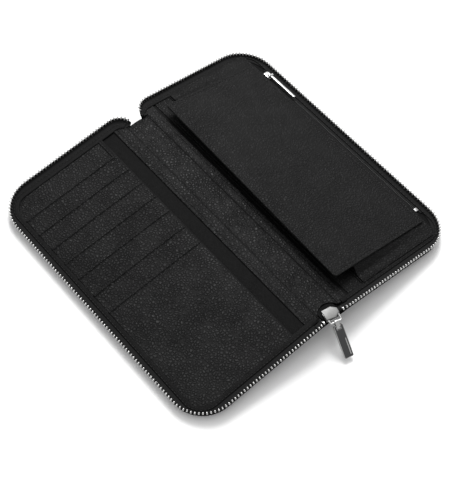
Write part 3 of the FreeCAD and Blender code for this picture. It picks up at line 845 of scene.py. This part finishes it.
def zip_pocket():
    """The lifting pocket: two leather faces sewn together round their edge, slightly full between."""
    first = CREASE_X + POCKET_INNER_U
    last = CREASE_X + POCKET_HINGE_U - 0.3
    lines_a = grid_lines(first, last, 3.0, (first + STITCH_INSET, last - STITCH_INSET))
    lines_v = grid_lines(-POCKET_V, POCKET_V, 3.0, (-POCKET_V + STITCH_INSET, POCKET_V - STITCH_INSET))

    def end_v(a):
        beyond = max(first + POCKET_R - a, a - last + POCKET_R, 0.0)
        return POCKET_V - POCKET_R + sqrt(POCKET_R ** 2 - min(beyond, POCKET_R) ** 2)

    def inside(a, v):
        return min(a - first, last - a, POCKET_V - abs(v))

    def face(a, v):
        """Height of the upper face above the pocket's mid-plane."""
        d = inside(a, v)
        seam = groove(d - STITCH_INSET, 0.28, 0.8)
        full = 0.45 * smooth(d, 2.8, 16.0)
        return 0.85 + full - seam + ripple(a, v, 0.3, 50) * smooth(d, 3.0, 12.0)
    middle = POCKET_HINGE_W + POCKET_T / 2

    def upper(a, v, w):
        return lifted(a, v, middle + w)

    def under(a, v, w):
        return lifted(a, v, middle - w)
    top_face = slab("zip_pocket_face", lines_a, lines_v, face, 0.85, upper, PANEL_LEATHER,
                    lambda a: -end_v(a), end_v, 0.5)
    attach(top_face, "zip_pocket", ("zip_pocket_front",))

    def flat_face(a, v):
        d = inside(a, v)
        return 0.85 + 0.25 * smooth(d, 3.0, 14.0)
    bottom_face = slab("zip_pocket_underside", lines_a, lines_v, flat_face, 0.85, under, PANEL_LEATHER,
                       lambda a: -end_v(a), end_v, 0.5)
    attach(bottom_face, "zip_pocket", ("zip_pocket_back",))
    border = trace(first + STITCH_INSET, -POCKET_V + STITCH_INSET, 0.0,
                   ((last - first - 2 * STITCH_INSET, 0), (0.01, QUARTER),
                    (2 * (POCKET_V - STITCH_INSET), 0), (0.01, QUARTER),
                    (last - first - 2 * STITCH_INSET, 0), (0.01, QUARTER),
                    (2 * (POCKET_V - STITCH_INSET), 0)))
    stitches("zip_pocket_stitches", [border], face, upper, "zip_pocket")
    stitches("zip_pocket_stitches_under", [border], flat_face, under, "zip_pocket")


def gusset(name, end):
    """Soft fold that joins an end of the zip pocket to the slip pocket below it."""
    first = CREASE_X + SLIP_EDGES_U[1] + 1.0
    last = CREASE_X + POCKET_HINGE_U - 3.0
    head = POCKET_V - 1.0
    foot_w = PANEL_TOP + SHEET + 0.65

    def top(a, v):
        high = POCKET_HINGE_W + (POCKET_HINGE_U + CREASE_X - a) * sin(POCKET_LIFT) + 0.5
        t = (abs(v) - head) / (GUSSET_FOOT_V - head)
        pleat = 0.5 * sin(3 * pi * t) * min(1.0, (high - foot_w) / 5)
        return foot_w + max(0.0, high - foot_w) * (1 - t) ** 2.2 + pleat
    lines_v = grid_lines(head, GUSSET_FOOT_V, 1.1)
    if end < 0:
        lines_v = [-v for v in reversed(lines_v)]
    sheet = slab("gusset_leather_" + name, grid_lines(first, last, 4.0), lines_v, top, 0.6, back,
                 PANEL_LEATHER, roll=0.25)
    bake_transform(sheet)
    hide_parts("gusset_" + name)


def pocket_zip():
    """Fine coil zip beside the zip pocket, its slider, slim pull and end stop."""
    middle = CREASE_X + COIL_U
    strips = []
    for number, (u0, u1) in enumerate(((COIL_U - 2.6, COIL_U - 1.0), (COIL_U + 1.0, COIL_U + 2.6)), start=1):
        strip = slab("pocket_zip_tape_%d" % number, grid_lines(CREASE_X + u0, CREASE_X + u1, 0.8),
                     grid_lines(-COIL_V - 3, COIL_V + 3, 6.0), lambda a, v: 1.75, 0.6, back, TAPE, roll=0.25)
        strips.append(strip)
    attach(strips[0], "back_half", ("pocket_zip_tapes",))
    attach(strips[1], "back_half")
    loop = lathe_bar(((-1.2, 0.2, 0.25), (-0.9, 0.38, 0.5), (0.9, 0.38, 0.5), (1.2, 0.2, 0.25)), 6)
    places = []
    count = int((2 * COIL_V - 4) / COIL_PITCH)
    for n in range(count):
        v = -COIL_V + 3 + n * COIL_PITCH
        places.append(local_frame(back, middle, v, 1.62, 0.12))
    coil = stamp("pocket_zip_loops", loop, places, COIL_NYLON, sharp=60.0)
    attach(coil, "back_half", ("pocket_zip_coil",))

    def at_stop(x, y, z):
        return back(middle + x, -COIL_V + y, 1.0 + z)
    stop = prism("pocket_zip_end", rounded_outline(-1.4, 1.4, 0, 3, 0.6), 0, 1.7, at_stop, NICKEL, 0.3)
    attach(stop, "back_half", ("pocket_zip_stop",))

    def at_slider(x, y, z):
        return back(middle + x, POCKET_SLIDER_V + y, z)
    plate = prism("pocket_slider_plate", rounded_outline(-2.4, 2.4, -4, 4, 1.3), 2.5, 3.35, at_slider, NICKEL,
                  0.3, crown=0.15)
    attach(plate, "pocket_slider", ("pocket_slider_body",))
    for number, x in enumerate((-FLANGE_X, FLANGE_X), start=1):
        flange = prism("pocket_slider_flange_%d" % number, rounded_outline(x - 0.3, x + 0.3, -3.6, 3.6, 0.25),
                       1.95, 2.8, at_slider, NICKEL, 0.12)
        attach(flange, "pocket_slider")

    def at_pin(x, y, z):
        return back(middle + x, PIN_V + y, PIN_W + z)

    def lug_place(x, y, z):
        return at_pin(z, x, y)
    for number, x in enumerate((-FLANGE_X, FLANGE_X - LUG_T), start=1):
        lug = prism("pocket_slider_lug_%d" % number, rounded_outline(-1.0, 1.0, -1.7, 0.9, 0.7), x,
                    x + LUG_T, lug_place, NICKEL, 0.15)
        attach(lug, "pocket_slider")
    pin = wire("pocket_slider_pin", ((-FLANGE_X, 0, 0), (0, 0, 0), (FLANGE_X, 0, 0)), 0.55, at_pin, NICKEL)
    attach(pin, "pocket_slider")

    bar = rounded_outline(-0.95, 0.95, -29.9, 3.6, 0.7)
    pull = prism("pocket_pull_strip", bar, 0.62, 1.25, at_pin, NICKEL, 0.2)
    pull.data.transform(Matrix.Translation(back(0, 0, 0) - back(0, 0, 0.9)))
    attach(pull, "pocket_pull", ("pocket_pull_bar",))
    eye = tube("pocket_pull_eye", 1.2, 0.62, 1.0, at_pin)
    attach(eye, "pocket_pull")


def tube(name, outer, inner, half, place, sides=24):
    """A short tube round x."""
    bm = bmesh.new()
    loops = []
    chamfer = 0.15
    for x, r in ((-half, inner), (-half, outer - chamfer), (-half + chamfer, outer),
                 (half - chamfer, outer), (half, outer - chamfer), (half, inner)):
        loops.append([bm.verts.new(place(x, r * cos(2 * pi * n / sides), r * sin(2 * pi * n / sides)))
                      for n in range(sides)])
    for k in range(len(loops)):
        here, there = loops[k], loops[(k + 1) % len(loops)]
        for n in range(sides):
            m = (n + 1) % sides
            bm.faces.new((here[n], here[m], there[m], there[n]))
    return make_object(name, bm, NICKEL)


# ---------------------------------------------------------------- main slider and pull

def main_slider():
    sole_outline = [(SOLE_SCALE * x, SOLE_SCALE * y) for x, y in CROWN]
    sole = prism("slider_sole", sole_outline, -0.7, 0.7, slider_place, NICKEL, 0.35)
    attach(sole, "spine", ("slider_body",))
    core = prism("slider_core", rounded_outline(-1.6, 1.6, -2.4, 2.4, 0.8), 0.5, 4.2, slider_place,
                 NICKEL, 0.2)
    attach(core, "spine")
    # The crown plate takes the darker nickel copy: painted shade over the same metal as the rest of the
    # slider.
    crown = prism("slider_crown_plate", CROWN, 4.0, 5.3, slider_place, CROWN_NICKEL_PAINTED_SHADE, 0.45, 3, crown=0.12)
    attach(crown, "spine", ("slider_crown",))
    route = ((-BRIDGE_X, *BRIDGE_ROOT), (-BRIDGE_X, -BRIDGE_REACH, BRIDGE_W),
             (BRIDGE_X, -BRIDGE_REACH, BRIDGE_W), (BRIDGE_X, *BRIDGE_ROOT))
    bridge = wire("slider_bridge_wire", route, BRIDGE_R, slider_place, NICKEL)
    attach(bridge, "spine", ("slider_bridge",))


def link():
    """A strip closed round the bridge's bar and the tab's pin."""
    half = LINK_HALF
    steps = 12
    loops = []
    for r_bar, r_pin in ((1.5, 1.2), (0.88, 0.68)):
        loop = []
        for n in range(steps + 1):
            turn = pi * n / steps
            loop.append((r_bar * sin(turn), r_bar * cos(turn)))
        for n in range(steps + 1):
            turn = pi + pi * n / steps
            loop.append((-LINK_LENGTH + r_pin * sin(turn), r_pin * cos(turn)))
        loops.append(loop)
    bm = bmesh.new()
    made = {}
    for k, loop in enumerate(loops):
        for x in (-half, half):
            made[k, x] = [bm.verts.new(pull_place(x, y, z)) for y, z in loop]
    count = len(loops[0])
    for n in range(count):
        m = (n + 1) % count
        for k in (0, 1):
            bm.faces.new((made[k, -half][n], made[k, -half][m], made[k, half][m], made[k, half][n]))
        for x in (-half, half):
            bm.faces.new((made[0, x][n], made[0, x][m], made[1, x][m], made[1, x][n]))
    bmesh.ops.recalc_face_normals(bm, faces=bm.faces)
    rims = [e for e in bm.edges if e.calc_face_angle(0) > radians(60)]
    bmesh.ops.bevel(bm, geom=rims, offset=0.15 * MM, segments=2, profile=0.5, affect="EDGES")
    obj = make_object("link_strip", bm, NICKEL)
    attach(obj, "pull_link", ("pull_link",))


def tab():
    """Metal tab with a slot at its head, an enamelled panel on each face and a slim inlay."""
    head = -LINK_LENGTH + 0.8
    end = -LINK_LENGTH - TAB_LENGTH
    slot_half = TAB_SLOT_HALF
    slot_end = -LINK_LENGTH - TAB_SLOT_DEPTH
    side = ((slot_half, slot_end), (slot_half, head), (TAB_HALF - TAB_CHAMFER, head),
            (TAB_HALF, head - TAB_CHAMFER), (TAB_HALF, end + TAB_CHAMFER), (TAB_HALF - TAB_CHAMFER, end))
    outline = [(-x, y) for x, y in side] + list(reversed(side))
    body = prism("tab_frame", outline, -0.92, 0.92, pull_place, NICKEL, 0.22)
    attach(body, "pull_tab", ("pull_tab_bar",))
    panel = rounded_outline(-TAB_HALF + 0.5, TAB_HALF - 0.35, end + 0.45, slot_end - 0.2, 0.6)
    for name, z0, z1 in (("upper", 0.8, 1.0), ("lower", -1.0, -0.8)):
        piece = prism("tab_enamel_" + name, panel, z0, z1, pull_place, ENAMEL, 0.08)
        attach(piece, "pull_tab")
    cheeks = ((-TAB_HALF + 0.5, -slot_half - 0.2), (slot_half + 0.2, TAB_HALF - 0.35))
    for number, (x0, x1) in enumerate(cheeks, start=1):
        cheek = prism("tab_cheek_%d" % number, rounded_outline(x0, x1, slot_end - 0.6, head - 0.4, 0.3), 0.8,
                      1.0, pull_place, ENAMEL, 0.08)
        attach(cheek, "pull_tab")
    inlay = prism("tab_inlay", rounded_outline(1.7, 2.5, end + 2, end + 15, 0.3), 0.9, 1.09, pull_place,
                  NICKEL, 0.06)
    attach(inlay, "pull_tab", ("pull_tab_inlay",))
    pin = wire("tab_pin", ((-2.5, -LINK_LENGTH, 0), (0, -LINK_LENGTH, 0), (2.5, -LINK_LENGTH, 0)), 0.6,
               pull_place, NICKEL)
    attach(pin, "pull_tab")


# ---------------------------------------------------------------- everything together

cover(1, "back", back, "back_half", ("back_cover", "spine_cover"))
cover(-1, "front", front, "front_half", ("front_cover",))
spine_leather(1, "back", back, "back_half", FLAP_BACK_U, ("back_crease_flap", "spine_lining"))
spine_leather(-1, "front", front, "front_half", FLAP_FRONT_U, ("front_crease_flap",))
main_zip(1, "back", back, "back_half", 0.25, 6.2)
main_zip(-1, "front", front, "front_half", 0.75, 9.6)
card_half()
zip_pocket_half()
pocket_zip()
main_slider()
link()
tab()

for carried, dressing in (("back_lining", LINING_LEATHER), ("front_lining", LINING_LEATHER),
                          ("back_board", BOARD), ("front_board", BOARD), ("spine_stiffener", LINING_LEATHER),
                          ("back_padding", FOAM), ("front_padding", FOAM)):
    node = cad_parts[carried]
    node.data.materials.clear()
    node.data.materials.append(dressing)


# ---------------------------------------------------------------- floor, light and camera

def area_light(name, place, target, size, power):
    data = bpy.data.lights.new(name, "AREA")
    data.shape = "DISK"
    data.size = size
    data.energy = power
    lamp = bpy.data.objects.new(name, data)
    lamp.location = place
    lamp.rotation_euler = (Vector(target) - Vector(place)).to_track_quat("-Z", "Y").to_euler()
    bpy.context.collection.objects.link(lamp)


def studio():
    bm = bmesh.new()
    reach = 3.0
    corners = ((-reach, -reach), (reach, -reach), (reach, reach), (-reach, reach))
    bm.faces.new([bm.verts.new(Vector((x, y, TABLE_Z * MM))) for x, y in corners])
    white = worn("floor_paper", (0.86, 0.86, 0.86), (0.88, 0.88, 0.88), 0.9, 0.0, size=400.0, specular=0.1)
    make_object("floor", bm, white)
    world = bpy.data.worlds.new("studio")
    world.use_nodes = True
    world.node_tree.nodes["Background"].inputs["Color"].default_value = (1, 1, 1, 1)
    world.node_tree.nodes["Background"].inputs["Strength"].default_value = 0.7
    bpy.context.scene.world = world
    area_light("key", (0.7, 0.85, 1.45), (0, 0, 0), 0.8, 31.0)
    area_light("top", (0.2, 0.2, 1.7), (0, 0, 0), 1.2, 5.0)
    bpy.context.scene.view_settings.view_transform = "Standard"


def camera():
    data = bpy.data.cameras.new("camera")
    data.sensor_width = 36.0
    data.lens = 90.3
    data.clip_start = 0.05
    eye = Vector((-0.3545, -0.3732, 0.7733))
    right = Vector((0.7593, -0.6497, 0.0360))
    forward = Vector((0.3705, 0.3862, -0.8447))
    right = (right - right.project(forward)).normalized()
    up = right.cross(forward.normalized())
    turn = Matrix((right, up, -forward.normalized())).transposed().to_4x4()
    shot = bpy.data.objects.new("camera", data)
    shot.matrix_world = Matrix.Translation(eye) @ turn
    bpy.context.collection.objects.link(shot)
    bpy.context.scene.camera = shot


studio()
camera()
